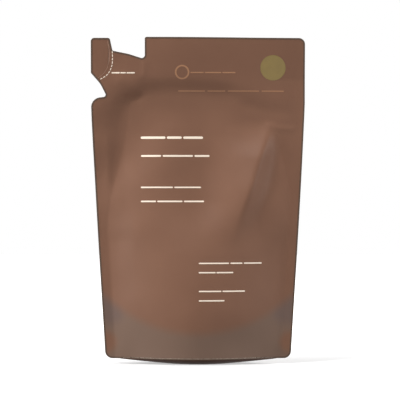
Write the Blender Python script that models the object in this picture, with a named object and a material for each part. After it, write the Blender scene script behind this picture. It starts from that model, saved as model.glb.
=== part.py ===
"""A hand soap refill pack: a sealed, filled stand-up pouch of film with a tear-off spout.

Lengths are in metres, +Z is up and the front panel faces -Y. The origin lies on the
floor, in the middle of the flat spot on which the filled base stands.

The pouch is made as the real one is. Two panels are sealed along both sides and the
top, a third panel is tucked between them as the base, and a die cuts the outline with
its spout. The contents push the panels apart, so the sealed rims stay flat and thin.
"""

import math

import bmesh
import bpy
import numpy as np
from mathutils import Vector

MM = 0.001

# Outline, as seen from the front
TOP_WIDTH = 110.0 * MM
BASE_WIDTH = 95.2 * MM
TOP_HEIGHT = 167.7 * MM
SKIRT_GAP = 3.4 * MM
STRAIGHT_SIDE = 33.7 * MM
TAPER_POWER = 1.14
TOP_CORNER = 3.2 * MM
BASE_CORNER = 3.8 * MM

# Spout: across from the left edge of the pouch, and down from its top
TAB_DROP = 0.5 * MM
TAB_WIDTH = 9.7 * MM
TAB_LEAN = 1.4 * MM
TAB_CORNER = 1.8 * MM
TAB_TIP_CORNER = 0.9 * MM
NOTCH_ACROSS = 27.7 * MM
NOTCH_START = 7.0 * MM
NOTCH_DOWN = 11.4 * MM
NOTCH_BOW = 0.5 * MM
NOTCH_ROOT_CORNER = 1.6 * MM
NOTCH_TOP_CORNER = 1.0 * MM
LIP_DOWN = 18.4 * MM
LIP_BOW = 0.9 * MM
GAP_ACROSS = 8.2 * MM
GAP_DOWN = 30.5 * MM
GAP_ROOT_CORNER = 1.2 * MM
SHOULDER_DOWN = 31.5 * MM
SHOULDER_CORNER = 5.0 * MM

# Film and seals
FILM = 0.15 * MM
SIDE_SEAL = 5.0 * MM
BASE_SEAL = 13.8 * MM
BASE_SEAL_RISE = 18.0 * MM
BASE_SEAL_POWER = 2.3

# Fill: half the depth of the pouch, and the flat band above it where the panels meet
FILL_DEPTH = 21.0 * MM
TOP_BAND = 25.7 * MM
FILL_LINE_SLOPE = -0.08
FILL_CORNER_DROP = 8.0 * MM
FILL_SQUEEZE_RUN = 62.0 * MM
FILL_TAPER_POWER = 0.85
TOP_BLEND = 0.16

# How far the panels are drawn in at the top, and how flat they run out to the seals
FRONT_SQUEEZE = 13.1 * MM
FRONT_SIDE_POWER = 1.34
BACK_SQUEEZE = 8.0 * MM
BACK_SIDE_POWER = 1.1

# Spout channel, from the body to the tear line, across and down as the spout is
CHANNEL_FOOT_ACROSS = 20.0 * MM
CHANNEL_FOOT_DOWN = 26.0 * MM
CHANNEL_MOUTH_ACROSS = 9.5 * MM
CHANNEL_MOUTH_DOWN = 15.5 * MM
CHANNEL_PUFF = 0.8 * MM
CHANNEL_WIDTH = 4.0 * MM

# Places below are given as the spout is, across from the left edge and down from the top.
# Lean of the film: the top band bows forward, and where the contents end the whole
# pouch falls back in a trough that runs round the top and the left of the belly
TOP_BOW = 2.4 * MM
TOP_BOW_ACROSS = 51.7 * MM
TOP_BOW_WIDTH = 29.0 * MM
TROUGH_DEPTH = 3.2 * MM
TROUGH_RUN = 24.0 * MM
TROUGH_DOWN = 72.7 * MM
TROUGH_HALF_WIDTH = 45.0 * MM
TROUGH_HALF_HEIGHT = 41.1 * MM
TROUGH_POWER = 4.5
TROUGH_FADE = 26.0 * MM
TROUGH_FADE_ACROSS = 101.0 * MM
TROUGH_FOOT = 75.7 * MM
TROUGH_FOOT_RUN = 25.0 * MM

# Front panel: a soft fold runs down its right side
FOLD_HEIGHT = 6.6 * MM
FOLD_ACROSS = 91.1 * MM
FOLD_DOWN = 47.7 * MM
FOLD_SLOPE = 0.263
FOLD_CURVE = 0.168
FOLD_ROUND = 1.6 * MM
FOLD_LEFT_RUN = 27.6 * MM
FOLD_RIGHT_RUN = 10.0 * MM
FOLD_POWER = 2.2
FOLD_TOP = 43.0 * MM
FOLD_TOP_RUN = 16.0 * MM
FOLD_FOOT = 112.4 * MM
FOLD_FOOT_RUN = 34.0 * MM

# Front panel: its middle is flatter than its sides
HOLLOW_DEPTH = 5.7 * MM
HOLLOW_ACROSS = 58.2 * MM
HOLLOW_WIDTH = 16.4 * MM
HOLLOW_TOP = 27.7 * MM
HOLLOW_TOP_RUN = 24.0 * MM
HOLLOW_FOOT = 112.8 * MM
HOLLOW_FOOT_RUN = 30.0 * MM
HOLLOW_FILL = 12.0 * MM

# Front panel: a fuller left side, and a tuck above the foot
SIDE_SWELL = 1.0 * MM
SWELL_ACROSS = 25.0 * MM
SWELL_WIDTH = 12.0 * MM
SWELL_TOP = 42.7 * MM
SWELL_TOP_RUN = 40.0 * MM
SWELL_FOOT_RUN = 40.0 * MM
TUCK_DEPTH = 2.5 * MM
TUCK_ACROSS = 46.1 * MM
TUCK_WIDTH = 51.8 * MM
TUCK_HEIGHT = 30.3 * MM

# Base: the tucked panel hangs below the skirts and has a flat spot
BELLY_RISE = 3.6 * MM
BELLY_RISE_POWER = 1.35
BELLY_PRESS = 0.7 * MM
BELLY_ROUND = 3.2
BELLY_END_RISE = 1.2 * MM
BELLY_END_POWER = 40
BELLY_CLEAR = 0.3 * MM
BELLY_DRAFT = 0.06
BELLY_LAP = 3.0 * MM
POCKET_END = 0.955
BELLY_END = 0.965

# Fineness of the mesh
COLUMNS = 35
ROWS = 46
POCKET_ROWS = 8
BELLY_POINTS = 9
ARC_POINTS = 6
BLANK_MARGIN = 2.5 * MM
DIE_REACH = 40.0 * MM

FILM_COLOUR = (0.195, 0.098, 0.067, 1.0)


def smooth(value):
    """Smoothstep: 0 below 0, 1 above 1, and level at both ends."""
    t = np.clip(value, 0.0, 1.0)
    return t * t * (3.0 - 2.0 * t)


def half_width(z):
    """Half the width of the outline at height z. The fill draws the sides in below."""
    start = TOP_HEIGHT - STRAIGHT_SIDE
    share = np.clip((start - z) / (start - SKIRT_GAP), 0.0, 1.2)
    return TOP_WIDTH / 2 - (TOP_WIDTH - BASE_WIDTH) / 2 * share**TAPER_POWER


def along(x, z, start, end):
    """How far (x, z) is along the line from start to end, and how far off it."""
    step = np.subtract(end, start)
    length = math.hypot(*step)
    share = ((x - start[0]) * step[0] + (z - start[1]) * step[1]) / length**2
    off = ((x - start[0]) * step[1] - (z - start[1]) * step[0]) / length
    return share, off


def from_corner(across, down):
    """A place given across and down from the top left corner, as (x, z)."""
    return across - TOP_WIDTH / 2, TOP_HEIGHT - down


def hump(value, width):
    """A soft rise of height 1."""
    return np.exp(-((value / width) ** 2))


def between(z, top, top_run, foot, foot_run):
    """1 between two places down from the top, and 0 beyond them."""
    down = TOP_HEIGHT - z
    return smooth((down - top) / top_run) * smooth((foot - down) / foot_run)


def fill(u, x, z, squeeze, power):
    """How far the contents push a panel off the middle plane."""
    line = TOP_HEIGHT - TOP_BAND
    squeeze = squeeze * smooth((z - line + FILL_SQUEEZE_RUN) / FILL_SQUEEZE_RUN)
    v = np.clip(np.abs(x) / (half_width(z) - SIDE_SEAL - squeeze), 0.0, 1.0)
    line = line + FILL_LINE_SLOPE * x - FILL_CORNER_DROP * np.abs(u) ** 3
    level = np.clip((line - z) / line, 0.0, 1.0)
    rise = np.sin(math.pi / 2 * level) ** FILL_TAPER_POWER * smooth(level / TOP_BLEND)
    return FILL_DEPTH * rise * (1.0 - v * v) ** power


def channel(u, x, z):
    """How far the spout channel stands off the middle plane."""
    foot = from_corner(CHANNEL_FOOT_ACROSS, CHANNEL_FOOT_DOWN)
    mouth = from_corner(CHANNEL_MOUTH_ACROSS, CHANNEL_MOUTH_DOWN)
    share, off = along(x, z, foot, mouth)
    ends = smooth(share / 0.5 + 1.0) * smooth((1.0 - share) / 0.6)
    puff = CHANNEL_PUFF * hump(off, CHANNEL_WIDTH) * ends
    return puff * smooth((1.0 - np.abs(u)) / 0.2)


def fold(x, z):
    """The soft fold on the right of the front panel."""
    drop = TOP_HEIGHT - z - FOLD_DOWN
    centre = from_corner(FOLD_ACROSS, 0.0)[0]
    off = x - centre + FOLD_SLOPE * drop + FOLD_CURVE * drop * np.abs(drop) / TOP_HEIGHT
    run = np.where(off < 0.0, FOLD_LEFT_RUN, FOLD_RIGHT_RUN)
    beside = (np.sqrt(off**2 + FOLD_ROUND**2) - FOLD_ROUND) / run
    crest = np.clip(1.0 - beside, 0.0, 1.0) ** FOLD_POWER
    ends = between(z, FOLD_TOP, FOLD_TOP_RUN, FOLD_FOOT, FOLD_FOOT_RUN)
    return FOLD_HEIGHT * crest * ends


def hollow(x, z, depth):
    """How far the flat middle of the front panel lies back, where the pouch is full."""
    centre = from_corner(HOLLOW_ACROSS, 0.0)[0]
    ends = between(z, HOLLOW_TOP, HOLLOW_TOP_RUN, HOLLOW_FOOT, HOLLOW_FOOT_RUN)
    full = smooth(depth / HOLLOW_FILL)
    return HOLLOW_DEPTH * hump(x - centre, HOLLOW_WIDTH) * ends * full


def swell(x, z):
    """The fuller left side of the front panel."""
    centre = from_corner(SWELL_ACROSS, 0.0)[0]
    ends = between(z, SWELL_TOP, SWELL_TOP_RUN, TOP_HEIGHT, SWELL_FOOT_RUN)
    return SIDE_SWELL * hump(x - centre, SWELL_WIDTH) * ends


def tuck(x, z):
    """How far the front panel draws in above its foot."""
    centre = from_corner(TUCK_ACROSS, 0.0)[0]
    share = smooth((TUCK_HEIGHT - z) / TUCK_HEIGHT)
    return TUCK_DEPTH * hump(x - centre, TUCK_WIDTH) * share


def lean(x, z):
    """How far the middle plane stands forward: the top bows, and a trough lies below."""
    share = smooth(1.0 - (TOP_HEIGHT - z) / (TOP_BAND * 1.4))
    centre = from_corner(TOP_BOW_ACROSS, 0.0)[0]
    bow = TOP_BOW * share * hump(x - centre, TOP_BOW_WIDTH)
    height = TOP_HEIGHT - TROUGH_DOWN
    across = np.abs(x / TROUGH_HALF_WIDTH)
    up = np.clip((z - height) / TROUGH_HALF_HEIGHT, 0.0, 2.0)
    edge = (across**TROUGH_POWER + up**TROUGH_POWER) ** (1.0 / TROUGH_POWER)
    step = smooth((edge - 1.0) * TROUGH_HALF_WIDTH / TROUGH_RUN + 0.5)
    right = from_corner(TROUGH_FADE_ACROSS, 0.0)[0]
    ends = smooth((TROUGH_FOOT - TOP_HEIGHT + z) / TROUGH_FOOT_RUN)
    return bow + TROUGH_DEPTH * step * smooth((right - x) / TROUGH_FADE) * ends


def base_seal(u):
    """Height of the U-shaped line where the base panel leaves the skirts."""
    return SKIRT_GAP + BASE_SEAL + BASE_SEAL_RISE * np.abs(u) ** BASE_SEAL_POWER


def belly_height(u):
    """Height of the lowest line of the base panel, before the floor flattens it."""
    rise = BELLY_RISE * np.abs(u) ** BELLY_RISE_POWER
    end = BELLY_END_RISE * np.abs(u / BELLY_END) ** BELLY_END_POWER
    return rise + end - BELLY_PRESS


def loft(name, sections):
    """A closed solid through a row of equal-length rings of (x, y, z) points."""
    rings = len(sections)
    count = len(sections[0])
    mesh = bmesh.new()
    made = bmesh.ops.create_grid(mesh, x_segments=count, y_segments=rings - 1, size=1.0)
    for index, vert in enumerate(made["verts"]):
        ring, place = divmod(index, count + 1)
        vert.co = sections[ring][place % count]
    bmesh.ops.remove_doubles(mesh, verts=mesh.verts, dist=0.01 * MM)
    open_edges = [edge for edge in mesh.edges if edge.is_boundary]
    bmesh.ops.holes_fill(mesh, edges=open_edges, sides=0)
    bmesh.ops.recalc_face_normals(mesh, faces=mesh.faces)
    data = bpy.data.meshes.new(name)
    mesh.to_mesh(data)
    mesh.free()
    return bpy.data.objects.new(name, data)


def columns(end, count):
    """Places across the pouch, closer together towards the seals."""
    spread = np.sin(np.linspace(-1.3, 1.3, count)) / math.sin(1.3)
    return spread * end


def panel_points(u, extra, z):
    """Front and back points of the panels at the heights z, for one column."""
    x = u * (half_width(z) - SIDE_SEAL) + extra
    puff = FILM + channel(u, x, z)
    depth = fill(u, x, z, FRONT_SQUEEZE, FRONT_SIDE_POWER)
    forms = fold(x, z) + swell(x, z) - hollow(x, z, depth) - tuck(x, z)
    depth = depth + forms * smooth((1.0 - np.abs(u)) / 0.3)
    front = -depth - puff - lean(x, z)
    back = fill(u, x, z, BACK_SQUEEZE, BACK_SIDE_POWER) + puff - lean(x, z)
    return np.column_stack([x, front, z]), np.column_stack([x, back, z])


def blank_section(u, extra, pocket):
    """Ring of the sealed panels at one column, with the base pocket where it has one."""
    low = SKIRT_GAP - BLANK_MARGIN
    heights = np.linspace(TOP_HEIGHT + BLANK_MARGIN, low, ROWS)
    front, back = panel_points(u, extra, heights)
    ceiling = base_seal(u) if pocket else low
    inner = np.linspace(low, ceiling, POCKET_ROWS)
    wall_front, wall_back = panel_points(u, extra, inner)
    wall_front[:, 1] += 2 * FILM
    wall_back[:, 1] -= 2 * FILM
    middle = (wall_front[-1] + wall_back[-1]) / 2
    under = np.vstack([wall_front, [middle], wall_back[::-1]])
    if not pocket:
        shares = np.linspace(0.1, 0.9, len(under))[:, None]
        under = front[-1] + (back[-1] - front[-1]) * shares
    return np.vstack([front, under, back[::-1]])


def make_blank():
    """The filled and sealed pouch before it is cut, wider and taller than the outline."""
    pocket = [(u, 0.0, True) for u in columns(POCKET_END, COLUMNS - 6)]
    sides = [(u, 0.0, False) for u in (BELLY_END, 0.975, 1.0)]
    beyond = [(1.0, SIDE_SEAL / 2, False), (1.0, SIDE_SEAL + BLANK_MARGIN, False)]
    right = sides + beyond
    left = [(-u, -extra, flag) for u, extra, flag in reversed(right)]
    return loft("blank", [blank_section(*place) for place in left + pocket + right])


def belly_section(u):
    """Ring of the base panel at one column, closed above inside the filled body."""
    seal = base_seal(u)
    front, back = panel_points(u, 0.0, np.array([seal]))
    x = front[0][0]
    gap = 2 * FILM + BELLY_CLEAR
    near = front[0][1] + gap
    far = back[0][1] - gap
    angles = np.linspace(0.0, math.pi, 2 * BELLY_POINTS + 1)
    power = 2.0 / BELLY_ROUND
    across = np.cos(angles)
    across = np.sign(across) * np.abs(across) ** power
    down = np.abs(np.sin(angles)) ** power
    y = (near + far) / 2 - (far - near) / 2 * across
    z = np.maximum(seal - (seal - belly_height(u)) * down, 0.0)
    front, back = panel_points(u, 0.0, np.maximum(z, SKIRT_GAP))
    room = (back[:, 1] - front[:, 1]) / 2
    inset = np.clip(BELLY_DRAFT * (seal - z), 0.0, np.maximum(0.6 * room - gap, 0.0))
    y = np.where(room > 2 * gap, np.clip(y, front[:, 1] + gap + inset, back[:, 1] - gap - inset), y)
    lid = [(x, far, seal + BELLY_LAP), (x, (near + far) / 2, seal + BELLY_LAP)]
    lid += [(x, near, seal + BELLY_LAP)]
    return np.vstack([np.column_stack([np.full_like(y, x), y, z]), lid])


def make_belly():
    """The base panel, let down below the skirts by the contents."""
    return loft("belly", [belly_section(u) for u in columns(BELLY_END, COLUMNS - 6)])


def rounded(corners):
    """The closed outline with each (x, z, radius) corner turned into an arc."""
    points = []
    for index, (x, z, radius) in enumerate(corners):
        here = Vector((x, z))
        if not radius:
            points.append(here)
            continue
        before = (Vector(corners[index - 1][:2]) - here).normalized()
        after = (Vector(corners[(index + 1) % len(corners)][:2]) - here).normalized()
        half = before.angle(after) / 2
        reach = radius / math.tan(half)
        centre = here + (before + after).normalized() * radius / math.sin(half)
        start = (here + before * reach - centre).normalized()
        end = (here + after * reach - centre).normalized()
        for step in range(ARC_POINTS + 1):
            points.append(centre + start.slerp(end, step / ARC_POINTS) * radius)
    return points


def bowed(start, end, amount):
    """The middle of a side, pushed out to the right of its run by amount."""
    run = Vector(end) - Vector(start)
    middle = (Vector(start) + Vector(end)) / 2
    return middle + Vector((run.y, -run.x)).normalized() * amount


def outline():
    """Corners of the die, clockwise from the top left of the main part."""
    foot = from_corner(TAB_WIDTH + TAB_LEAN, NOTCH_START)
    root = from_corner(NOTCH_ACROSS, NOTCH_DOWN)
    lip = from_corner(0.0, LIP_DOWN)
    gap = from_corner(GAP_ACROSS, GAP_DOWN)
    spout_top = bowed(root, foot, NOTCH_BOW)
    spout_side = bowed(lip, gap, -LIP_BOW)
    corners = [
        (*from_corner(NOTCH_ACROSS, 0.0), NOTCH_TOP_CORNER),
        (TOP_WIDTH / 2, TOP_HEIGHT, TOP_CORNER),
    ]
    heights = np.linspace(TOP_HEIGHT - STRAIGHT_SIDE, SKIRT_GAP + 2 * BASE_CORNER, 14)
    corners += [(half_width(z), z, 0.0) for z in heights]
    corners += [
        (half_width(SKIRT_GAP), SKIRT_GAP, BASE_CORNER),
        (-half_width(SKIRT_GAP), SKIRT_GAP, BASE_CORNER),
    ]
    shoulder = from_corner(0.0, SHOULDER_DOWN)
    heights = heights[heights < shoulder[1] - 1.5 * SHOULDER_CORNER]
    corners += [(-half_width(z), z, 0.0) for z in reversed(heights)]
    corners += [
        (*shoulder, SHOULDER_CORNER),
        (*gap, GAP_ROOT_CORNER),
        (*spout_side, 10 * GAP_ROOT_CORNER),
        (*lip, TAB_TIP_CORNER),
        (*from_corner(0.0, TAB_DROP), TAB_CORNER),
        (*from_corner(TAB_WIDTH, TAB_DROP), 0.7 * TAB_CORNER),
        (*foot, 0.5 * TAB_CORNER),
        (*spout_top, 10 * NOTCH_ROOT_CORNER),
        (*root, NOTCH_ROOT_CORNER),
    ]
    return corners


def make_die():
    """The cutting die: the outline as a tall solid across the pouch."""
    curve = bpy.data.curves.new("die", "CURVE")
    curve.dimensions = "2D"
    curve.fill_mode = "BOTH"
    curve.extrude = DIE_REACH
    points = rounded(outline())
    spline = curve.splines.new("POLY")
    spline.points.add(len(points) - 1)
    for point, place in zip(spline.points, points):
        point.co = (place.x, place.y, 0.0, 1.0)
    spline.use_cyclic_u = True
    guide = bpy.data.objects.new("die_curve", curve)
    bpy.context.scene.collection.objects.link(guide)
    graph = bpy.context.evaluated_depsgraph_get()
    data = bpy.data.meshes.new_from_object(guide.evaluated_get(graph))
    bpy.data.objects.remove(guide)
    mesh = bmesh.new()
    mesh.from_mesh(data)
    bmesh.ops.remove_doubles(mesh, verts=mesh.verts, dist=0.001 * MM)
    bmesh.ops.recalc_face_normals(mesh, faces=mesh.faces)
    mesh.to_mesh(data)
    mesh.free()
    die = bpy.data.objects.new("die", data)
    die.rotation_euler = (math.pi / 2, 0.0, 0.0)
    return die


def boolean(target, other, operation):
    """Joins other to target or cuts with it."""
    modifier = target.modifiers.new(other.name, "BOOLEAN")
    modifier.operation = operation
    modifier.object = other
    modifier.solver = "EXACT"


def make_material():
    """Printed matt laminate film."""
    material = bpy.data.materials.new("printed_film")
    material.use_nodes = True
    shader = material.node_tree.nodes["Principled BSDF"]
    shader.inputs["Base Color"].default_value = FILM_COLOUR
    shader.inputs["Roughness"].default_value = 0.45
    return material


def collection(name):
    made = bpy.data.collections.new(name)
    bpy.context.scene.collection.children.link(made)
    return made


def main():
    for item in list(bpy.data.objects):
        bpy.data.objects.remove(item)
    parts = collection("soap_refill_pack")
    helpers = collection("cutters")
    pouch = make_blank()
    pouch.name = "pouch"
    parts.objects.link(pouch)
    for helper, operation in ((make_die(), "INTERSECT"), (make_belly(), "UNION")):
        helpers.objects.link(helper)
        helper.hide_render = True
        helper.display_type = "WIRE"
        boolean(pouch, helper, operation)
    pouch.data.materials.append(make_material())
    pouch.data.polygons.foreach_set("use_smooth", [True] * len(pouch.data.polygons))


main()
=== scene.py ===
"""The looks of the hand soap refill pack: its printed film, seals and folds, the shapes
printed on it, and a plain studio.

Lengths are the real pouch's, in millimetres. Heights count from the floor, X runs to the
right of someone facing the front panel, and that panel faces -Y. A span is written as
(where a form begins, where it is full).
"""

import math

import bmesh
import bpy
import numpy as np
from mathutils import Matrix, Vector


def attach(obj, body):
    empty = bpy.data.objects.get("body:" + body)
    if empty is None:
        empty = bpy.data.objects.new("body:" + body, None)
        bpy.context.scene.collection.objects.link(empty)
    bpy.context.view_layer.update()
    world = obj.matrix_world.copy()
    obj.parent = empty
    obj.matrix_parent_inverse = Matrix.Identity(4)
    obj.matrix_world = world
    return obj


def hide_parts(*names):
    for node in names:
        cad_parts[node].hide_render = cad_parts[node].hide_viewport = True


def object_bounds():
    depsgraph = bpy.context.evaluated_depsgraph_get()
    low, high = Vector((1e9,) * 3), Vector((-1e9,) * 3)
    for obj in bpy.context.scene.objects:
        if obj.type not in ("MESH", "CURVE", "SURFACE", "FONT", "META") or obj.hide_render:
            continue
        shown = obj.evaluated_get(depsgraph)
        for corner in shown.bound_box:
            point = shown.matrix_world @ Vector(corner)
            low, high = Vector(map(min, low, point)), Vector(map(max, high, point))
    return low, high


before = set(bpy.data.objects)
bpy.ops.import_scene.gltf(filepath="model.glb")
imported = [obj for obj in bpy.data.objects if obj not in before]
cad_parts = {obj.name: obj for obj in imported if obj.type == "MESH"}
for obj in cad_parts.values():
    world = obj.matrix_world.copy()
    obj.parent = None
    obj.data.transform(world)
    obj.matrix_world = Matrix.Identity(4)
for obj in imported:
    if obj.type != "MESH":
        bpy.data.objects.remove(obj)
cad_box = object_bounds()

MM = 0.001

# The blank and its die-cut outline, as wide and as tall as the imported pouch
TOP_WIDTH = round((cad_box[1][0] - cad_box[0][0]) / MM, 1)
BASE_WIDTH = 95.2
HEIGHT = round((cad_box[1][2] - cad_box[0][2]) / MM, 1)
SKIRT_GAP = 2.7
STRAIGHT_SIDE = 33.7
TAPER_POWER = 1.14
TAPER_FOOT = 11.0
SIDE_POINTS = 28
TOP_CORNER = 3.2
TOP_FALL = 0.4
BASE_CORNER = 3.8
NOTCH_ACROSS = 27.7
NOTCH_CORNER = 1.0

# The left side begins this far below the top, under the spout
LEFT_SIDE_TOP = 39.0

# The spout as (across from the left edge, down from the top, corner radius), clockwise:
# the shoulder and gap under it, the tab, and the notch beside it
SPOUT = (
    (0.0, 31.5, 5.0),
    (8.2, 30.5, 1.2),
    (4.84, 23.94, 12.0),
    (0.0, 18.4, 0.9),
    (0.0, 0.5, 1.8),
    (9.7, 0.5, 1.26),
    (11.1, 7.0, 0.9),
    (19.53, 8.72, 16.0),
    (NOTCH_ACROSS, 11.4, 1.6),
)

# Film and seals
FILM = 0.15
SIDE_SEAL = 5.0
BASE_SEAL = 13.8
BASE_SEAL_RISE = 18.0
BASE_SEAL_POWER = 2.3

# Fill: half the depth of the pouch, the flat band above it, and how it tapers to there
FILL_DEPTH = 21.0
TOP_BAND = 25.7
FILL_LINE_SLOPE = 0.08
FILL_CORNER_DROP = 8.0
FILL_TAPER_POWER = 0.85
TOP_BLEND = 0.16

# How far below the fill line the sides begin to draw in, and over what height
LEFT_SQUEEZE_START = 74.0
RIGHT_SQUEEZE_START = 62.0
SQUEEZE_RUN = 62.0

# Each panel's fill as (how far its sides draw in, how flat it runs out to the seals)
FRONT_FILL = (13.1, 1.34)
BACK_FILL = (8.0, 1.1)

# Where both panels stand less than this off the middle, a crease moves them together
THIN_FRONT = 1.5
THIN_BACK = 2.0

# Channel from the body to the tear line, with spans in shares of its length and of the
# filled width
CHANNEL_FOOT = (-35.0, 141.7)
CHANNEL_MOUTH = (-45.5, 152.2)
CHANNEL_PUFF = 0.8
CHANNEL_REACH = 4.0
CHANNEL_IN = (-0.5, 0.0)
CHANNEL_OUT = (1.0, 0.4)
CHANNEL_EDGE = (1.0, 0.8)

# The top band bows forward, its upper part and its corners nod
TOP_BOW = 2.4
TOP_BOW_RUN = 1.4 * TOP_BAND
TOP_BOW_MIDDLE = -3.3
TOP_BOW_REACH = 29.0
NOD = 1.6
NOD_START = 142.0
NOD_RUN = 26.0
NOD_POWER = 1.3
RIGHT_NOD = 2.6
RIGHT_NOD_SPAN = (24.0, 50.0)
LEFT_NOD = 1.0
LEFT_NOD_SPAN = (-38.0, -50.0)
CORNER_NOD_START = 146.0
CORNER_NOD_RUN = 22.0

# The trough where the contents end, a rounded arch round the top and sides of the belly
TROUGH_FOOT = 95.0
TROUGH_LEFT_RISE = 2.0
TROUGH_LEFT_SPAN = (-15.0, -30.0)
TROUGH_RIGHT_DROP = 4.0
TROUGH_RIGHT_SPAN = (8.0, 30.0)
TROUGH_HALF_WIDTH = 45.0
TROUGH_HALF_HEIGHT = 41.1
TROUGH_POWER = 4.5
TROUGH_RUN = 28.0
TROUGH_START = 0.56
TROUGH_DEPTH = 3.5
TROUGH_TOP_DEPTH = 0.8
TROUGH_TOP_SPAN = (114.0, 136.0)
TROUGH_LEFT_DEPTH = 1.4
TROUGH_LEFT_DEPTH_SPAN = (24.0, -20.0)
TROUGH_FADE_RIGHT = (56.0, 14.0)
TROUGH_FADE_DOWN = (92.0, 117.0)

# The left side seal curls back a little, and the whole pouch leans back
CURL = 0.55
CURL_ACROSS = (8.0, -1.0)
CURL_UP = (132.0, 116.0)
LEAN_BACK = 1.7

# Front panel: a soft fold runs down its right side
FOLD_HEIGHT = 6.6
FOLD_AT = (36.1, 120.0)
FOLD_SLOPE = 0.263
FOLD_CURVE = 0.001
FOLD_ROUND = 1.6
FOLD_LEFT_RUN = 27.6
FOLD_RIGHT_RUN = 10.0
FOLD_POWER = 2.2
FOLD_FOOT_SPAN = (57.0, 93.0)
FOLD_TOP_SPAN = (126.0, 105.0)

# Front panel: its middle is flatter than its sides
HOLLOW_DEPTH = 5.7
HOLLOW_MIDDLE = 3.2
HOLLOW_REACH = 16.4
HOLLOW_FOOT_SPAN = (54.9, 84.9)
HOLLOW_TOP_SPAN = (140.0, 116.0)
HOLLOW_FILL = 12.0

# Front panel: a fuller left side, and a tuck above the foot
SWELL_HEIGHT = 1.0
SWELL_MIDDLE = -30.0
SWELL_REACH = 12.0
SWELL_FOOT_SPAN = (0.0, 40.0)
SWELL_TOP_SPAN = (125.0, 85.0)
TUCK_DEPTH = 2.5
TUCK_MIDDLE = -8.9
TUCK_REACH = 51.8
TUCK_SPAN = (30.3, 0.0)
FOLDS_EDGE = (1.0, 0.7)

# Unevenness of the film: half the height of the long waves and of the ripples between them
WAVE_HEIGHT = 0.1
RIPPLE_HEIGHT = 0.02

# Share of a crease's length over which each of its ends fades out
CREASE_FADE = 0.25

# Creases of a panel as (points, height outward, reach to each side)
FRONT_CREASES = (
    (
        ((-44.7, 104.0), (-42.1, 122.5), (-38.5, 131.8), (-33.5, 137.0), (-25.8, 139.6),
         (-14.0, 141.1), (0.5, 140.6), (15.9, 138.5), (28.7, 134.9), (38.9, 129.8)),
        -0.8,
        5.0,
    ),
    (((-36.5, 135.2), (-32.0, 136.8), (-27.0, 137.6)), -0.5, 1.9),
    (((-40.5, 96.0), (-40.3, 110.0), (-39.3, 122.0), (-38.0, 133.0), (-36.0, 139.5)), -0.6, 4.4),
    (((-27.0, 157.0), (-27.6, 151.0), (-29.0, 145.5)), 0.3, 1.6),
    (((-46.5, 121.0), (-46.0, 105.0), (-46.8, 88.0)), 0.25, 2.2),
    (((33.0, 123.5), (41.0, 121.0), (52.0, 120.5)), 0.3, 1.6),
    (((17.0, 134.0), (28.0, 132.0), (36.0, 130.0), (52.0, 128.5)), -0.35, 3.2),
)

BACK_CREASES = (
    (((-42.0, 116.0), (-24.0, 127.0), (3.0, 130.0), (26.0, 126.0), (41.0, 115.0)), -0.8, 4.5),
    (((-38.0, 34.0), (-31.0, 50.0), (-29.0, 72.0)), -0.8, 4.0),
    (((37.0, 30.0), (30.0, 48.0), (31.0, 66.0)), -0.7, 4.0),
    (((-16.0, 124.0), (-11.0, 104.0), (-13.0, 84.0)), -0.8, 6.0),
)

# Soft swells and dents of the front panel as (x, z, height outward, reach across, up)
FRONT_SWELLS = (
    (-30.5, 95.5, 0.6, 8.0, 8.5),
    (-34.0, 69.5, 0.55, 8.0, 7.5),
    (-36.5, 50.0, 0.4, 7.0, 10.0),
    (-36.0, 33.0, 0.3, 7.0, 7.0),
    (51.0, 124.0, -0.9, 6.0, 12.0),
    (-39.5, 63.5, -0.3, 5.0, 4.0),
    (-42.5, 85.0, 1.1, 6.0, 9.0),
    (-42.0, 4.0, 0.4, 5.0, 8.0),
    (-27.0, 126.0, 0.5, 8.0, 6.0),
    (-5.0, 123.0, -0.6, 14.0, 8.0),
    (22.0, 120.0, -0.5, 12.0, 8.0),
    (0.0, 60.0, -0.4, 14.0, 9.0),
    (-10.0, 95.0, -0.6, 10.0, 16.0),
    (43.0, 88.0, 0.4, 8.0, 15.0),
    (41.0, 75.0, 1.5, 9.5, 13.0),
    (20.0, 11.0, -1.1, 13.0, 11.0),
    (43.0, 0.5, -0.8, 9.0, 6.5),
)


# Soft shapes


def smooth(value):
    """0 below 0, 1 above 1, level at both ends."""
    t = np.clip(value, 0.0, 1.0)
    return t * t * (3.0 - 2.0 * t)


def ramp(value, start, full):
    """0 up to start, 1 from full on, and smooth between. It also runs downward."""
    return smooth((value - start) / (full - start))


def hump(value, reach):
    """A soft rounded rise of height 1."""
    return np.exp(-((value / reach) ** 2))


def half_width(z):
    """Half the width of the pouch at a height."""
    start = HEIGHT - STRAIGHT_SIDE
    share = np.clip((start - z) / (start - SKIRT_GAP), 0.0, 1.2)
    return TOP_WIDTH / 2 - (TOP_WIDTH - BASE_WIDTH) / 2 * share**TAPER_POWER


def filled_share(x, z):
    """How far across the filled width a place lies: 0 in the middle, 1 at a side seal."""
    return np.clip(np.abs(x) / (half_width(z) - SIDE_SEAL), 0.0, 1.0)


def along(x, z, start, end):
    """How far a place is along the line from start to end, and how far off it."""
    run_x, run_z = end[0] - start[0], end[1] - start[1]
    length = math.hypot(run_x, run_z)
    share = ((x - start[0]) * run_x + (z - start[1]) * run_z) / length**2
    return share, ((x - start[0]) * run_z - (z - start[1]) * run_x) / length


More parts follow.
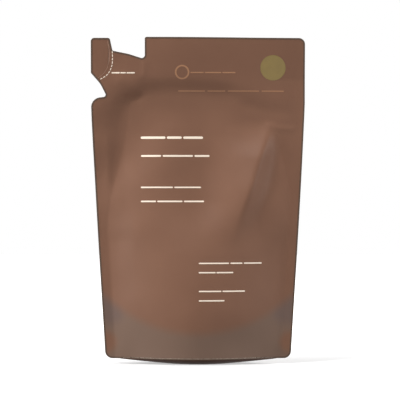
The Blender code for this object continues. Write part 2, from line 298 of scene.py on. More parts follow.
def pillow(x, z, squeeze, power):
    """How far the contents push a panel off the middle of the pouch."""
    line = HEIGHT - TOP_BAND
    start = line - np.where(x < 0.0, LEFT_SQUEEZE_START, RIGHT_SQUEEZE_START)
    drawn_in = squeeze * ramp(z, start, start + SQUEEZE_RUN)
    v = np.clip(np.abs(x) / (half_width(z) - SIDE_SEAL - drawn_in), 0.0, 1.0)
    line = line - FILL_LINE_SLOPE * x - FILL_CORNER_DROP * filled_share(x, z) ** 3
    level = np.clip((line - z) / line, 0.0, 1.0)
    rise = np.sin(math.pi / 2 * level) ** FILL_TAPER_POWER * smooth(level / TOP_BLEND)
    return FILL_DEPTH * rise * (1.0 - v * v) ** power


def spout_channel(x, z):
    """How far the channel that leads to the tear line stands off the middle."""
    share, off = along(x, z, CHANNEL_FOOT, CHANNEL_MOUTH)
    ends = ramp(share, *CHANNEL_IN) * ramp(share, *CHANNEL_OUT)
    ends = ends * ramp(filled_share(x, z), *CHANNEL_EDGE)
    return CHANNEL_PUFF * hump(off, CHANNEL_REACH) * ends


def top_bow(x, z):
    """The thin band above the fill bows forward, and its top edge and corners nod."""
    bow = TOP_BOW * ramp(z, HEIGHT - TOP_BOW_RUN, HEIGHT) * hump(x - TOP_BOW_MIDDLE, TOP_BOW_REACH)
    nod = NOD * np.clip((z - NOD_START) / NOD_RUN, 0.0, 1.2) ** NOD_POWER
    corner = RIGHT_NOD * ramp(x, *RIGHT_NOD_SPAN) + LEFT_NOD * ramp(x, *LEFT_NOD_SPAN)
    return bow + nod + corner * np.clip((z - CORNER_NOD_START) / CORNER_NOD_RUN, 0.0, 1.2)


def trough_rim(x, z):
    """Outside the trough the film stands forward, and inside it the belly falls back."""
    left = TROUGH_LEFT_RISE * ramp(x, *TROUGH_LEFT_SPAN)
    foot = TROUGH_FOOT + left - TROUGH_RIGHT_DROP * ramp(x, *TROUGH_RIGHT_SPAN)
    across = np.abs(x / TROUGH_HALF_WIDTH)
    up = np.clip((z - foot) / TROUGH_HALF_HEIGHT, 0.0, 2.0)
    edge = (across**TROUGH_POWER + up**TROUGH_POWER) ** (1.0 / TROUGH_POWER)
    step = smooth((edge - 1.0) * TROUGH_HALF_WIDTH / TROUGH_RUN + TROUGH_START)
    extra = TROUGH_TOP_DEPTH + TROUGH_LEFT_DEPTH * ramp(x, *TROUGH_LEFT_DEPTH_SPAN)
    depth = TROUGH_DEPTH + extra * ramp(z, *TROUGH_TOP_SPAN)
    return depth * step * ramp(x, *TROUGH_FADE_RIGHT) * ramp(z, *TROUGH_FADE_DOWN)


def lean(x, z):
    """How far the middle of the pouch stands forward."""
    curl = CURL * ramp(x + half_width(z), *CURL_ACROSS) * ramp(z, *CURL_UP)
    back = LEAN_BACK * np.clip(z / HEIGHT, 0.0, 1.1)
    return top_bow(x, z) + trough_rim(x, z) - curl - back


def side_fold(x, z):
    """The fold on the right of the front panel: a sharp crest with long soft sides."""
    drop = FOLD_AT[1] - z
    off = x - (FOLD_AT[0] - FOLD_SLOPE * drop - FOLD_CURVE * drop * np.abs(drop))
    run = np.where(off < 0.0, FOLD_LEFT_RUN, FOLD_RIGHT_RUN)
    beside = (np.sqrt(off**2 + FOLD_ROUND**2) - FOLD_ROUND) / run
    crest = FOLD_HEIGHT * np.clip(1.0 - beside, 0.0, 1.0) ** FOLD_POWER
    return crest * ramp(z, *FOLD_FOOT_SPAN) * ramp(z, *FOLD_TOP_SPAN)


def front_folds(x, z):
    """What the front panel has on top of the pillow, outward: the fold on the right, the
    flat middle, the fuller left side and the tuck above the foot."""
    full = smooth(pillow(x, z, *FRONT_FILL) / HOLLOW_FILL)
    hollow = HOLLOW_DEPTH * hump(x - HOLLOW_MIDDLE, HOLLOW_REACH) * full
    hollow = hollow * ramp(z, *HOLLOW_FOOT_SPAN) * ramp(z, *HOLLOW_TOP_SPAN)
    fuller = SWELL_HEIGHT * hump(x - SWELL_MIDDLE, SWELL_REACH)
    fuller = fuller * ramp(z, *SWELL_FOOT_SPAN) * ramp(z, *SWELL_TOP_SPAN)
    tuck = TUCK_DEPTH * hump(x - TUCK_MIDDLE, TUCK_REACH) * ramp(z, *TUCK_SPAN)
    return (side_fold(x, z) - hollow + fuller - tuck) * ramp(filled_share(x, z), *FOLDS_EDGE)


def off_path(x, z, path):
    """Distance from a line of points, and how far along it the nearest place lies."""
    best = np.full(np.broadcast(x, z).shape, 1e9)
    share = np.zeros_like(best)
    for i, (start, end) in enumerate(zip(path, path[1:])):
        run_x, run_z = end[0] - start[0], end[1] - start[1]
        t = ((x - start[0]) * run_x + (z - start[1]) * run_z) / (run_x**2 + run_z**2)
        t = np.clip(t, 0.0, 1.0)
        gap = np.hypot(x - start[0] - t * run_x, z - start[1] - t * run_z)
        share = np.where(gap < best, (i + t) / (len(path) - 1), share)
        best = np.minimum(gap, best)
    return best, share


def relief(x, z, creases, swells=()):
    """The fine relief of a filled panel, outward."""
    total = np.zeros(np.broadcast(x, z).shape)
    for path, height, reach in creases:
        gap, share = off_path(x, z, path)
        ends = ramp(share, 0.0, CREASE_FADE) * ramp(share, 1.0, 1.0 - CREASE_FADE)
        total += height * hump(gap, reach) * ends
    for at_x, at_z, height, reach_x, reach_z in swells:
        total += height * hump(x - at_x, reach_x) * hump(z - at_z, reach_z)
    return total


def waviness(x, z):
    """Slight unevenness of pressed film: waves 5 to 6 cm long, and ripples of about 3 cm.
    The divisors are millimetres, and each wave bends the other so that none repeats."""
    bend_x, bend_z = 1.4 * np.sin(z / 13.0 + 0.6), 0.9 * np.sin(x / 11.0)
    waves = np.sin(x / 7.9 + bend_x) * np.sin(z / 9.7 + bend_z)
    ripples = np.sin(x / 4.3 - z / 17.0 + 2.0) * np.sin(z / 5.6 + x / 23.0)
    return WAVE_HEIGHT * waves + RIPPLE_HEIGHT * ripples


def base_seal(u):
    """Height of the U-shaped seal between the front panel and the base panel."""
    return SKIRT_GAP + BASE_SEAL + BASE_SEAL_RISE * np.abs(u) ** BASE_SEAL_POWER


def panels(x, z):
    """Depth of the front panel and of the back panel. Where the pouch is thin, a crease
    moves both panels together, so that they never cross."""
    swell = pillow(x, z, *FRONT_FILL) + front_folds(x, z) + spout_channel(x, z)
    fine = relief(x, z, FRONT_CREASES, FRONT_SWELLS)
    room = smooth(swell / THIN_FRONT)
    shift = lean(x, z) + waviness(x, z) + fine * (1.0 - room)
    behind = pillow(x, z, *BACK_FILL) + spout_channel(x, z)
    behind = behind + relief(x, z, BACK_CREASES) * smooth(behind / THIN_BACK)
    return -FILM - swell - fine * room - shift, FILM + behind - shift


def front_y(x, z):
    """Depth of the front panel's outer face."""
    return panels(x, z)[0]


def back_y(x, z):
    """Depth of the back panel's outer face."""
    return panels(x, z)[1]


# Mesh making

# Edges that turn by more than this many degrees stay sharp
SHARP_ANGLE = 40.0

# Points of one skin that lie nearer than this become one
WELD = 0.002


def finished(name, mesh, material):
    """A mesh becomes a piece of the pouch."""
    data = bpy.data.meshes.new(name)
    bmesh.ops.recalc_face_normals(mesh, faces=mesh.faces)
    mesh.to_mesh(data)
    mesh.free()
    data.polygons.foreach_set("use_smooth", [True] * len(data.polygons))
    data.set_sharp_from_angle(angle=math.radians(SHARP_ANGLE))
    data.materials.append(material)
    piece = bpy.data.objects.new(name, data)
    bpy.context.scene.collection.objects.link(piece)
    return piece


def loft(rings):
    """A closed solid through a row of rings, each with as many (x, y, z) points."""
    rings = np.asarray(rings) * MM
    count = rings.shape[1]
    mesh = bmesh.new()
    rows = [[mesh.verts.new(place) for place in ring] for ring in rings]
    for one, two in zip(rows, rows[1:]):
        for i in range(count):
            j = (i + 1) % count
            mesh.faces.new((one[i], one[j], two[j], two[i]))
    mesh.faces.new(rows[0])
    mesh.faces.new(rows[-1][::-1])
    bmesh.ops.remove_doubles(mesh, verts=mesh.verts, dist=WELD * MM)
    return mesh


def applied(piece):
    """The piece with its modifiers made part of its mesh."""
    graph = bpy.context.evaluated_depsgraph_get()
    data = bpy.data.meshes.new_from_object(piece.evaluated_get(graph))
    old = piece.data
    piece.modifiers.clear()
    piece.data = data
    bpy.data.meshes.remove(old)
    return piece


# Materials

# The film is doubled, and so looks greyer, on the skirts: outside an arc about a centre
# above the base, and below a height. A spot in each corner, where the side seal closes
# it, isn't greyer. At a second spot, at the end of the U-shaped seal, the film is a little darker.
SKIRT_ARC_CENTRE = 86.3
SKIRT_ARC = (67.2, 73.8)
SKIRT_TOP = (55.0, 45.0)
CLOSED_CORNER = (47.5, 11.0)
CLOSED_EDGE = (3.0, 7.8)
DARKER_SPOT = (45.5, 28.0)
DARKER_SPOT_EDGE = (4.0, 11.0)

# Patches of the film's mottle, and its grain: how wide and how deep
MOTTLE = 14.0
GRAIN = 1.2
GRAIN_DEPTH = 0.02


def hex_colour(code):
    """An sRGB hex colour as the linear values that a shader takes."""
    out = []
    for start in (0, 2, 4):
        c = int(code[start : start + 2], 16) / 255.0
        out.append(c / 12.92 if c <= 0.04045 else ((c + 0.055) / 1.055) ** 2.4)
    return (*out, 1.0)


def add_node(tree, kind, settings=None, **inputs):
    """Adds a node, sets its properties, and sets or links its inputs by name."""
    node = tree.nodes.new(kind)
    for key, value in (settings or {}).items():
        setattr(node, key, value)
    for key, value in inputs.items():
        key = key.replace("_", " ")
        socket = node.inputs[int(key)] if key.isdigit() else node.inputs[key]
        if isinstance(value, bpy.types.NodeSocket):
            tree.links.new(value, socket)
        else:
            socket.default_value = value
    return node


def new_material(name):
    """A material with its node tree and the shader that is its skin."""
    material = bpy.data.materials.new(name)
    material.use_nodes = True
    tree = material.node_tree
    return material, tree, tree.nodes["Principled BSDF"]


def from_spot(tree, flat, x, z, span):
    """A ramp by the distance from a place on the panels: 0 near it and 1 away from it."""
    reach = add_node(
        tree,
        "ShaderNodeVectorMath",
        {"operation": "DISTANCE"},
        **{"0": flat, "1": (x * MM, 0.0, z * MM)},
    )
    away = add_node(
        tree,
        "ShaderNodeMapRange",
        {"interpolation_type": "SMOOTHSTEP"},
        Value=reach.outputs["Value"],
        From_Min=span[0] * MM,
        From_Max=span[1] * MM,
    )
    return away.outputs["Result"]


def skirt_share(tree, flat):
    """1 on the doubled film of the skirts, 0 above them and at the closed corners."""
    height = add_node(tree, "ShaderNodeSeparateXYZ", Vector=flat)
    low = add_node(
        tree,
        "ShaderNodeMapRange",
        Value=height.outputs["Z"],
        From_Min=SKIRT_TOP[0] * MM,
        From_Max=SKIRT_TOP[1] * MM,
    )
    share = add_node(
        tree,
        "ShaderNodeMath",
        {"operation": "MULTIPLY"},
        **{"0": from_spot(tree, flat, 0.0, SKIRT_ARC_CENTRE, SKIRT_ARC), "1": low.outputs["Result"]},
    )
    share = add_node(
        tree,
        "ShaderNodeMath",
        {"operation": "MULTIPLY"},
        **{"0": share.outputs["Value"], "1": from_spot(tree, flat, *CLOSED_CORNER, CLOSED_EDGE)},
    )
    return share.outputs["Value"]


def matt_laminate():
    """Matt-printed PET and PE laminate: a warm brown ink under a satin skin, so light
    spreads into broad soft bands, with a faint mottle where the layers are pressed."""
    material, tree, skin = new_material("matt_laminate_film")
    skin.inputs["Roughness"].default_value = 0.5
    skin.inputs["IOR"].default_value = 1.48
    # The matt varnish is full of pores, so it mirrors less than a smooth film would
    skin.inputs["Specular IOR Level"].default_value = 0.12
    place = add_node(tree, "ShaderNodeTexCoord").outputs["Object"]
    mottle = add_node(
        tree, "ShaderNodeTexNoise", Vector=place, Scale=1.0 / (MOTTLE * MM), Detail=3.0
    )
    colour = add_node(
        tree,
        "ShaderNodeMix",
        {"data_type": "RGBA"},
        Factor=mottle.outputs["Fac"],
        A=hex_colour("765544"),
        B=hex_colour("7D5B49"),
    )
    # Both panels and both halves of each are alike: the place is taken flat and mirrored
    flat = add_node(
        tree,
        "ShaderNodeVectorMath",
        {"operation": "MULTIPLY"},
        **{"0": place, "1": (1.0, 0.0, 1.0)},
    )
    mirrored = add_node(
        tree,
        "ShaderNodeVectorMath",
        {"operation": "ABSOLUTE"},
        **{"0": flat.outputs["Vector"]},
    ).outputs["Vector"]
    doubled = add_node(
        tree,
        "ShaderNodeMix",
        {"data_type": "RGBA"},
        Factor=from_spot(tree, mirrored, *DARKER_SPOT, DARKER_SPOT_EDGE),
        A=hex_colour("6B5850"),
        B=hex_colour("735D50"),
    )
    skirts = add_node(
        tree,
        "ShaderNodeMix",
        {"data_type": "RGBA"},
        Factor=skirt_share(tree, mirrored),
        A=colour.outputs["Result"],
        B=doubled.outputs["Result"],
    )
    tree.links.new(skirts.outputs["Result"], skin.inputs["Base Color"])
    # The real grain is a few hundredths of a millimetre wide. It is drawn far coarser than
    # that, so that it shows.
    grain = add_node(
        tree, "ShaderNodeTexNoise", Vector=place, Scale=1.0 / (GRAIN * MM), Detail=2.0
    )
    bump = add_node(
        tree, "ShaderNodeBump", Height=grain.outputs["Fac"], Distance=GRAIN_DEPTH * MM
    )
    bump.inputs["Strength"].default_value = 0.5
    tree.links.new(bump.outputs["Normal"], skin.inputs["Normal"])
    return material


def mottled(name, one, two, patch, roughness):
    """A skin whose colour drifts between two near tones, in patches of so many mm."""
    material, tree, skin = new_material(name)
    skin.inputs["Roughness"].default_value = roughness
    place = add_node(tree, "ShaderNodeTexCoord").outputs["Object"]
    drift = add_node(
        tree, "ShaderNodeTexNoise", Vector=place, Scale=1.0 / (patch * MM), Detail=2.0
    )
    colour = add_node(
        tree,
        "ShaderNodeMix",
        {"data_type": "RGBA"},
        Factor=drift.outputs["Fac"],
        A=hex_colour(one),
        B=hex_colour(two),
    )
    tree.links.new(colour.outputs["Result"], skin.inputs["Base Color"])
    return material, skin


def base_laminate():
    """The same printed laminate, tucked in as the base: its colour is painted darker and redder for
    the shade it lies in under the skirts, and it is a little glossier where the soap stretches it."""
    # Painted shade: darker, redder tones of the film for the base under the skirts
    material, skin = mottled("base_laminate_painted_shade", "5E4236", "684A3D", 9.0, 0.45)
    skin.inputs["IOR"].default_value = 1.48
    skin.inputs["Specular IOR Level"].default_value = 0.12
    return material


def cut_laminate():
    """Bare cut edge of the laminate: its layers end on, darker and duller than the face."""
    return mottled("die_cut_laminate_edge", "412D1C", "4A3423", 4.0, 0.6)[0]


def painted_skirt_highlight():
    """Painted highlight at the foot of the skirt: a pale strip that stands for the light on its
    trimmed edge.
    """
    return mottled("skirt_highlight_painted", "948172", "A08D7D", 6.0, 0.5)[0]


def score_painted_sheen():
    """Score pressed into the laminate, with a painted sheen: its lighter colour stands for the
    film's shine along the groove.
    """
    # Painted sheen: a tone lighter than the film along the score
    return mottled("score_painted_sheen", "8F6B58", "997661", 3.0, 0.5)[0]


def cream_ink():
    """Opaque gravure ink, nearly white, with a faint unevenness where it is thinner."""
    return mottled("cream_gravure_ink", "F5E6D4", "EEDDC9", 2.0, 0.45)[0]


def gold_ink():
    """Olive-gold gravure ink, a little glossier than the matt film round it."""
    return mottled("gold_gravure_ink", "776230", "7F6A33", 3.0, 0.4)[0]


def tan_ink():
    """Thin tan gravure ink, close to the tone of the film."""
    return mottled("tan_gravure_ink", "966A49", "A07250", 2.0, 0.45)[0]


# The pouch

# Fineness of its skins. The upright slices crowd towards the sides, as the sine of even
# angles up to this one does
COLUMNS = 121
BASE_COLUMNS = 81
ROWS = 211
POCKET_ROWS = 4
CROWDING = 1.3

# Slices as shares of the filled width: where the pocket for the base ends, on to the edge
# of the fill, and then in steps out over the side seal and past the die
POCKET_END = 0.955
FILL_EDGES = (0.965, 0.975, 0.985, 1.0)
SEAL_STEPS = (0.8, 1.6, 2.4, 3.2, 4.0, 4.8, 7.5)
BLANK_MARGIN = 2.5
DIE_REACH = 40.0

# Base panel: how far it hangs, how square its belly is, and its room in the pocket
BELLY_END = 0.965
BELLY_RISE = 3.6
BELLY_RISE_POWER = 1.35
BELLY_END_RISE = 1.2
BELLY_END_POWER = 40
BELLY_PRESS = 0.7
BELLY_ROUND = 3.2
BELLY_CLEAR = 0.3
BELLY_INSET = 0.6
BELLY_DRAFT = 0.06
BELLY_SLIMMING = 0.6
BELLY_LAP = 3.0
BELLY_LEAST = 0.05
BELLY_POINTS = 41


def slice_x(u, extra, z):
    """Where a slice of the blank runs at a height."""
    return u * (half_width(z) - SIDE_SEAL) + extra


def panel_ring(u, extra, pocket):
    """Ring of one upright slice: front panel down, base pocket or foot, back panel up."""
    heights = np.linspace(HEIGHT + BLANK_MARGIN, SKIRT_GAP - BLANK_MARGIN, ROWS)
    x = slice_x(u, extra, heights)
    front = np.column_stack([x, front_y(x, heights), heights])
    back = np.column_stack([x, back_y(x, heights), heights])
    if pocket:
        inner = np.linspace(heights[-1], base_seal(u), POCKET_ROWS)
        x = slice_x(u, extra, inner)
        near = np.column_stack([x, front_y(x, inner) + 2 * FILM, inner])
        far = np.column_stack([x, back_y(x, inner) - 2 * FILM, inner])
        under = np.vstack([near, [(near[-1] + far[-1]) / 2], far[::-1]])
    else:
        count = 2 * POCKET_ROWS + 1
        shares = np.linspace(0.1, 0.9, count)[:, None]
        under = front[-1] + (back[-1] - front[-1]) * shares
    return np.vstack([front, under, back[::-1]])


def spread(count):
    """Places from -1 to 1 that crowd towards the ends."""
    return np.sin(np.linspace(-CROWDING, CROWDING, count)) / math.sin(CROWDING)


def slices():
    """The upright slices from left to right, as (share of the width, extra, pocket)."""
    inner = [(u * POCKET_END, 0.0, True) for u in spread(COLUMNS)]
    outer = [(u, 0.0, False) for u in FILL_EDGES]
    outer += [(1.0, extra, False) for extra in SEAL_STEPS]
    return [(-u, -extra, pocket) for u, extra, pocket in reversed(outer)] + inner + outer


def arc_corners(corners, steps=10):
    """A closed outline with each (x, z, radius) corner turned into an arc."""
    points = []
    for index, (x, z, radius) in enumerate(corners):
        here = Vector((x, z))
        if not radius:
            points.append(here)
            continue
        before = (Vector(corners[index - 1][:2]) - here).normalized()
        after = (Vector(corners[(index + 1) % len(corners)][:2]) - here).normalized()
        half = before.angle(after) / 2
        centre = here + (before + after).normalized() * radius / math.sin(half)
        start = (here + before * radius / math.tan(half) - centre).normalized()
        end = (here + after * radius / math.tan(half) - centre).normalized()
        for step in range(steps + 1):
            points.append(centre + start.slerp(end, step / steps) * radius)
    return points


def outline():
    """Corners of the cut edge, clockwise from the top left of the main part."""
    left, right, top = -TOP_WIDTH / 2, TOP_WIDTH / 2, HEIGHT
    heights = np.linspace(HEIGHT - STRAIGHT_SIDE, TAPER_FOOT, SIDE_POINTS)
    corners = [(left + NOTCH_ACROSS, top, NOTCH_CORNER), (right, top - TOP_FALL, TOP_CORNER)]
    corners += [(half_width(z), z, 0.0) for z in heights]
    base = half_width(SKIRT_GAP)
    corners += [(base, SKIRT_GAP, BASE_CORNER), (-base, SKIRT_GAP, BASE_CORNER)]
    corners += [(-half_width(z), z, 0.0) for z in heights[::-1] if z < top - LEFT_SIDE_TOP]
    return corners + [(left + across, top - down, radius) for across, down, radius in SPOUT]


def die_solid():
    """The cutting die, deeper than the blank."""
    mesh = bmesh.new()
    edge = arc_corners(outline())
    face = mesh.faces.new([mesh.verts.new((p.x * MM, -DIE_REACH * MM, p.y * MM)) for p in edge])
    moved = bmesh.ops.extrude_face_region(mesh, geom=[face])["geom"]
    moved = [item for item in moved if isinstance(item, bmesh.types.BMVert)]
    bmesh.ops.translate(mesh, verts=moved, vec=(0.0, 2 * DIE_REACH * MM, 0.0))
    return mesh


def make_film(material):
    """Front panel, back panel and skirts in one closed skin, cut out by the die."""
    film = finished("film", loft([panel_ring(*each) for each in slices()]), material)
    die = finished("die", die_solid(), material)
    cut = film.modifiers.new("die cut", "BOOLEAN")
    cut.operation = "INTERSECT"
    cut.solver = "EXACT"
    cut.object = die
    applied(film)
    bpy.data.objects.remove(die)
    film.data.set_sharp_from_angle(angle=math.radians(SHARP_ANGLE))
    return film


def belly_ring(u):
    """Ring of one upright slice of the base panel, with a lid hidden inside the film."""
    seal = base_seal(u)
    x = slice_x(u, 0.0, seal)
    near = front_y(x, seal) + 2 * FILM + BELLY_CLEAR
    far = back_y(x, seal) - 2 * FILM - BELLY_CLEAR
    low = BELLY_RISE * abs(u) ** BELLY_RISE_POWER - BELLY_PRESS
    low += BELLY_END_RISE * abs(u / BELLY_END) ** BELLY_END_POWER
    turn = np.linspace(0.0, math.pi, BELLY_POINTS)
    across = np.sign(np.cos(turn)) * np.abs(np.cos(turn)) ** (2 / BELLY_ROUND)
    y = (near + far) / 2 - (far - near) / 2 * across
    z = np.maximum(seal - (seal - low) * np.sin(turn) ** (2 / BELLY_ROUND), 0.0)
    level = np.maximum(z, SKIRT_GAP)
    front, back = front_y(x, level), back_y(x, level)
    room, middle = (back - front) / 2, (front + back) / 2
    most = np.maximum(BELLY_SLIMMING * room - BELLY_INSET, 0.0)
    inset = BELLY_INSET + np.clip(BELLY_DRAFT * (seal - z), 0.0, most)
    limit = np.maximum(room - inset, BELLY_LEAST)
    y = middle + np.clip(y - middle, -limit, limit)
    lid = [(x, lid_y, seal + BELLY_LAP) for lid_y in (far, (near + far) / 2, near)]
    return np.vstack([np.column_stack([np.full_like(y, x), y, z]), lid])


def make_base_panel(material):
    """The tucked base panel, let down below the skirts by the soap."""
    rings = [belly_ring(u * BELLY_END) for u in spread(BASE_COLUMNS)]
    return finished("base_panel", loft(rings), material)


# Print, as thin shapes on the front panel: deeper than ink is, so that they show

PRINT_LIFT = 0.02
PRINT_DEPTH = 0.05
# A longer edge than this is cut in two, so that a shape follows the film, and its halves
# again, up to so many times
PRINT_STEP = 1.2
PRINT_CUTS = 8

# Gold dot and tan ring as (across, up, radius)
DOT = (38.54, 152.08, 6.5)
RING = (-8.17, 149.72, 3.3)
RING_WIDTH = 0.8
RING_ARCS = 8
RING_STEPS = 6

# Line on which the spout tears open, from its top, drawn as dashes
TEAR_LINE = (
    (-43.98, 160.56),
    (-43.88, 156.97),
    (-44.03, 153.63),
    (-44.91, 150.80),
    (-46.29, 148.64),
    (-48.09, 147.26),
    (-50.61, 145.77),
)
TEAR_DASHES = 10
TEAR_DASH_START = 0.05
TEAR_DASH_SHARE = 0.66
TEAR_DASH_WIDTH = 0.42

# Score pressed into the tab beside the tear line, from its top
SCORE_LINE = (
    (-46.34, 165.70),
    (-45.63, 162.62),
    (-45.32, 159.02),
    (-45.52, 155.42),
    (-46.45, 152.08),
    (-47.99, 149.57),
    (-49.63, 147.92),
    (-51.59, 146.59),
)
SCORE_WIDTH = 0.22

# Rows of plain bars as (left end, right end, height up, shares of the bars, thickness)
LARGE_ROWS = (
    (-29.54, 2.57, 116.12, (5, 3, 4), 1.25),
    (-29.29, 5.91, 106.72, (4, 6, 3), 0.95),
    (-29.29, 1.54, 90.58, (6, 5), 0.75),
    (-29.29, 3.08, 83.39, (3, 5, 4), 0.8),
)
SMALL_ROWS = (
    (0.36, 32.63, 51.84, (5, 2, 3), 0.68),
    (0.36, 17.98, 47.12, (3, 3), 0.68),
    (0.36, 23.99, 37.61, (4, 4), 0.68),
    (0.36, 13.51, 32.83, (5,), 0.68),
)
FAINT_ROWS = (
    (-3.90, 19.22, 149.52, (4, 5, 4), 0.62),
    (-10.28, 44.19, 140.11, (6, 4, 7, 5), 0.5),
)
SPOUT_ROWS = ((-44.44, -32.37, 149.36, (3, 2, 3), 0.66),)
# Gap between two bars, as a share of the row
BAR_GAP = 0.022

# Cut edge of the film. The real one is two films thick, and is drawn wider so that it
# shows. Its outline has no step shorter than this
RIM_WIDTH = 0.85
RIM_STEP = 0.02

# Painted highlight, a pale strip a little above the foot of the front skirt, and how far it ends
# from the corners
HIGHLIGHT_UP = 0.4
HIGHLIGHT_WIDTH = 0.35
HIGHLIGHT_END = 9.0


def printed(name, outlines, material):
    """Flat ink shapes that follow the front panel, each a list of (x, z) points."""
    mesh = bmesh.new()
    for points in outlines:
        face = mesh.faces.new([mesh.verts.new((x, 0.0, z)) for x, z in points])
        bmesh.ops.triangulate(mesh, faces=[face])
    for _ in range(PRINT_CUTS):
        long = [edge for edge in mesh.edges if edge.calc_length() > PRINT_STEP]
        if not long:
            break
        bmesh.ops.subdivide_edges(mesh, edges=long, cuts=1)
        bmesh.ops.triangulate(mesh, faces=mesh.faces)
    top = list(mesh.faces)
    made = bmesh.ops.extrude_face_region(mesh, geom=top)["geom"]
    made = {item for item in made if isinstance(item, bmesh.types.BMVert)}
    places = np.array([vert.co for vert in mesh.verts])
    depth = front_y(places[:, 0], places[:, 2])
    for vert, (x, _, z), y in zip(mesh.verts, places, depth):
        y -= PRINT_LIFT if vert in made else PRINT_LIFT + PRINT_DEPTH
        vert.co = (x * MM, y * MM, z * MM)
    return finished(name, mesh, material)


def disc(x, z, radius, steps=72):
    """The outline of a round spot."""
    turn = np.linspace(0.0, 2 * math.pi, steps, endpoint=False)
    return [(x + radius * math.cos(a), z + radius * math.sin(a)) for a in turn]


def band(points, width):
    """The outline of a line of even width through the points."""
    points = [Vector(p) for p in points]
    left, right = [], []
    for i, here in enumerate(points):
        run = points[min(i + 1, len(points) - 1)] - points[max(i - 1, 0)]
        side = Vector((-run.y, run.x)).normalized() * width / 2
        left.append(here + side)
        right.append(here - side)
    return [tuple(p) for p in left + right[::-1]]


def bar(x0, x1, z, height, steps=5):
    """A bar with round ends."""
    r = height / 2
    turn = np.linspace(-math.pi / 2, math.pi / 2, steps + 1)
    right = [(x1 - r + r * math.cos(a), z + r * math.sin(a)) for a in turn]
    left = [(x0 + r - r * math.cos(a), z - r * math.sin(a)) for a in turn]
    return right + left


def tear_line(fineness=200, passes=30):
    """The tear line as a fine curve, rounded by taking each place to its neighbours."""
    knots = np.array(TEAR_LINE)
    count = np.arange(len(knots))
    fine = np.linspace(0, len(knots) - 1, fineness)
    curve = np.column_stack([np.interp(fine, count, knots[:, k]) for k in (0, 1)])
    for _ in range(passes):
        curve[1:-1] = (curve[:-2] + 2 * curve[1:-1] + curve[2:]) / 4
    return curve


def dashes(curve, count, start, share):
    """Cuts a curve into even dashes that each fill a share of their step."""
    length = np.r_[0.0, np.cumsum(np.hypot(*np.diff(curve, axis=0).T))]
    step = length[-1] / count
    out = []
    for i in range(count):
        at = np.linspace((i + start) * step, (i + start + share) * step, 4)
        x, z = np.interp(at, length, curve[:, 0]), np.interp(at, length, curve[:, 1])
        out.append(list(zip(x, z)))
    return out


def row_of_bars(x0, x1, z, shares, thickness):
    """One row of print as plain bars, whose lengths are shares of the row."""
    gap = BAR_GAP * (x1 - x0)
    free = (x1 - x0) - gap * (len(shares) - 1)
    out, at = [], x0
    for share in shares:
        run = free * share / sum(shares)
        out.append(bar(at, at + run, z, thickness))
        at += run + gap
    return out


def rows_of_bars(name, rows, material):
    """Rows of bars in one ink, as one piece."""
    return printed(name, [each for row in rows for each in row_of_bars(*row)], material)


def ring_arcs(x, z, radius):
    """A ring as arcs of a band that meet end to end."""
    steps = RING_ARCS * RING_STEPS
    turn = np.linspace(0.0, 2 * math.pi, steps + 1)
    circle = [(x + radius * math.cos(a), z + radius * math.sin(a)) for a in turn]
    starts = range(0, steps, RING_STEPS)
    return [band(circle[i : i + RING_STEPS + 1], RING_WIDTH) for i in starts]


def inset_strip(points, width):
    """Narrow four-sided pieces that run along a closed outline, just inside it."""
    points = [Vector(p) for p in points]
    outer = [p for i, p in enumerate(points) if (p - points[i - 1]).length > RIM_STEP]
    inner = []
    for i, here in enumerate(outer):
        run = outer[(i + 1) % len(outer)] - outer[i - 1]
        inner.append(here + Vector((run.y, -run.x)).normalized() * width)
    pieces = []
    for i in range(len(outer)):
        j = (i + 1) % len(outer)
        pieces.append([tuple(p) for p in (outer[i], outer[j], inner[j], inner[i])])
    return pieces


def make_rims():
    """The die-cut rim of the laminate, whose bare edge shows darker than the ink, and a painted
    highlight, a pale strip where the trimmed skirt turns to the light."""
    rim = printed("cut_rim", inset_strip(arc_corners(outline()), RIM_WIDTH), cut_laminate())
    x = half_width(SKIRT_GAP) - HIGHLIGHT_END
    low = SKIRT_GAP + HIGHLIGHT_UP
    high = low + HIGHLIGHT_WIDTH
    # Painted highlight: a pale strip along the foot of the front skirt
    highlight = printed("skirt_edge_painted_highlight", [[(-x, low), (-x, high), (x, high), (x, low)]], painted_skirt_highlight())
    return [rim, highlight]


def make_print():
    """All print of the front panel, as fields of colour and plain bars."""
    cream, tan = cream_ink(), tan_ink()
    marks = dashes(tear_line(), TEAR_DASHES, TEAR_DASH_START, TEAR_DASH_SHARE)
    return [
        printed("gold_dot", [disc(*DOT)], gold_ink()),
        printed("tear_marks", [band(mark, TEAR_DASH_WIDTH) for mark in marks], cream),
        printed("score_line", [band(SCORE_LINE, SCORE_WIDTH)], score_painted_sheen()),
        rows_of_bars("spout_bars", SPOUT_ROWS, cream),
        rows_of_bars("large_bars", LARGE_ROWS, cream),
        rows_of_bars("small_bars", SMALL_ROWS, cream),
        printed("ring_mark", ring_arcs(*RING), tan),
        rows_of_bars("faint_bars", FAINT_ROWS, tan),
    ]


# Studio, in metres and watts

FLOOR_REACH = 3.0
# The floor glows white to the eye, and less so near the pouch, where its shadow shows
FLOOR_GLOW = 0.47
FLOOR_GLOW_SPAN = (0.12, 0.45)
WORLD_LIGHT = 0.04

# Soft boxes as (name, place, side, power), all aimed at the middle of the pouch
AIM = (0.0, 0.0, 0.09)
SOFT_BOXES = (
    ("key", (-0.7, -0.85, 1.75), 0.6, 40.2),
    ("right side", (1.7, -0.1, 0.5), 0.9, 16.0),
    ("left side", (-1.7, -0.3, 0.5), 0.9, 17.5),
    ("front", (0.9, -1.4, 0.4), 0.9, 2.4),
    ("back", (0.9, 1.3, 1.0), 0.8, 26.0),
)

# Camera, level and at about the height of the pouch's middle. The lens is in millimetres
CAMERA_PLACE = (0.001, -1.523, 0.0841)
CAMERA_LENS = 266.3
CAMERA_SENSOR = 36.0


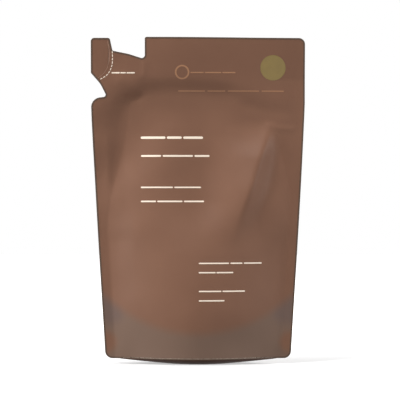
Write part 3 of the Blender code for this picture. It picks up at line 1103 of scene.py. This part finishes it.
def seen_directly(tree):
    """1 for what the camera sees, also in a glossy or a clear surface, and otherwise 0."""
    path = add_node(tree, "ShaderNodeLightPath")
    rays = add_node(
        tree,
        "ShaderNodeMath",
        {"operation": "ADD"},
        **{"0": path.outputs["Is Camera Ray"], "1": path.outputs["Is Glossy Ray"]},
    )
    rays = add_node(
        tree,
        "ShaderNodeMath",
        {"operation": "ADD", "use_clamp": True},
        **{"0": rays.outputs["Value"], "1": path.outputs["Is Transmission Ray"]},
    )
    return rays.outputs["Value"]


def white_paper():
    """Smooth white paper floor: it shows a soft shadow and reads as white elsewhere."""
    material, tree, skin = new_material("white_paper")
    skin.inputs["Base Color"].default_value = hex_colour("B4B4B4")
    skin.inputs["Roughness"].default_value = 0.9
    place = add_node(tree, "ShaderNodeTexCoord").outputs["Object"]
    far = add_node(tree, "ShaderNodeVectorMath", {"operation": "LENGTH"}, **{"0": place})
    lift = add_node(
        tree,
        "ShaderNodeMapRange",
        Value=far.outputs["Value"],
        From_Min=FLOOR_GLOW_SPAN[0],
        From_Max=FLOOR_GLOW_SPAN[1],
        To_Min=FLOOR_GLOW,
    )
    glow = add_node(
        tree,
        "ShaderNodeMath",
        {"operation": "MULTIPLY"},
        **{"0": seen_directly(tree), "1": lift.outputs["Result"]},
    )
    tree.links.new(glow.outputs["Value"], skin.inputs["Emission Strength"])
    skin.inputs["Emission Color"].default_value = (1.0, 1.0, 1.0, 1.0)
    return material


def make_floor():
    """The flat paper floor that the pouch stands on."""
    mesh = bmesh.new()
    bmesh.ops.create_grid(mesh, x_segments=8, y_segments=8, size=FLOOR_REACH)
    floor = finished("floor", mesh, white_paper())


def make_world():
    """White behind the pouch, and a faint even light from all round."""
    world = bpy.data.worlds.new("studio")
    bpy.context.scene.world = world
    world.use_nodes = True
    tree = world.node_tree
    strength = add_node(
        tree,
        "ShaderNodeMapRange",
        Value=seen_directly(tree),
        To_Min=WORLD_LIGHT,
        To_Max=1.0,
    )
    back = tree.nodes["Background"]
    back.inputs["Color"].default_value = (1.0, 1.0, 1.0, 1.0)
    tree.links.new(strength.outputs["Result"], back.inputs["Strength"])


def soft_box(name, place, side, power):
    """A square soft light that faces the pouch."""
    lamp = bpy.data.lights.new(name, "AREA")
    lamp.shape = "RECTANGLE"
    lamp.size, lamp.size_y = side, side
    lamp.energy = power
    item = bpy.data.objects.new(name, lamp)
    item.location = place
    item.rotation_euler = (Vector(AIM) - item.location).to_track_quat("-Z", "Y").to_euler()
    bpy.context.scene.collection.objects.link(item)


def make_camera():
    """The camera, straight in front of the pouch."""
    camera = bpy.data.cameras.new("camera")
    camera.sensor_width = CAMERA_SENSOR
    camera.lens = CAMERA_LENS
    item = bpy.data.objects.new("camera", camera)
    item.location = CAMERA_PLACE
    item.rotation_euler = (math.pi / 2, 0.0, 0.0)
    bpy.context.scene.collection.objects.link(item)
    bpy.context.scene.camera = item


def make_studio():
    """Floor, background, lights and camera."""
    make_floor()
    make_world()
    for each in SOFT_BOXES:
        soft_box(*each)
    make_camera()
    bpy.context.scene.view_settings.view_transform = "Standard"


def main():
    """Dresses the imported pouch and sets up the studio."""
    film = make_film(matt_laminate())
    base = make_base_panel(base_laminate())
    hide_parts("pouch")
    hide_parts("pouch")
    for piece in [film, base] + make_rims() + make_print():
        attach(piece, "root")
    make_studio()


main()
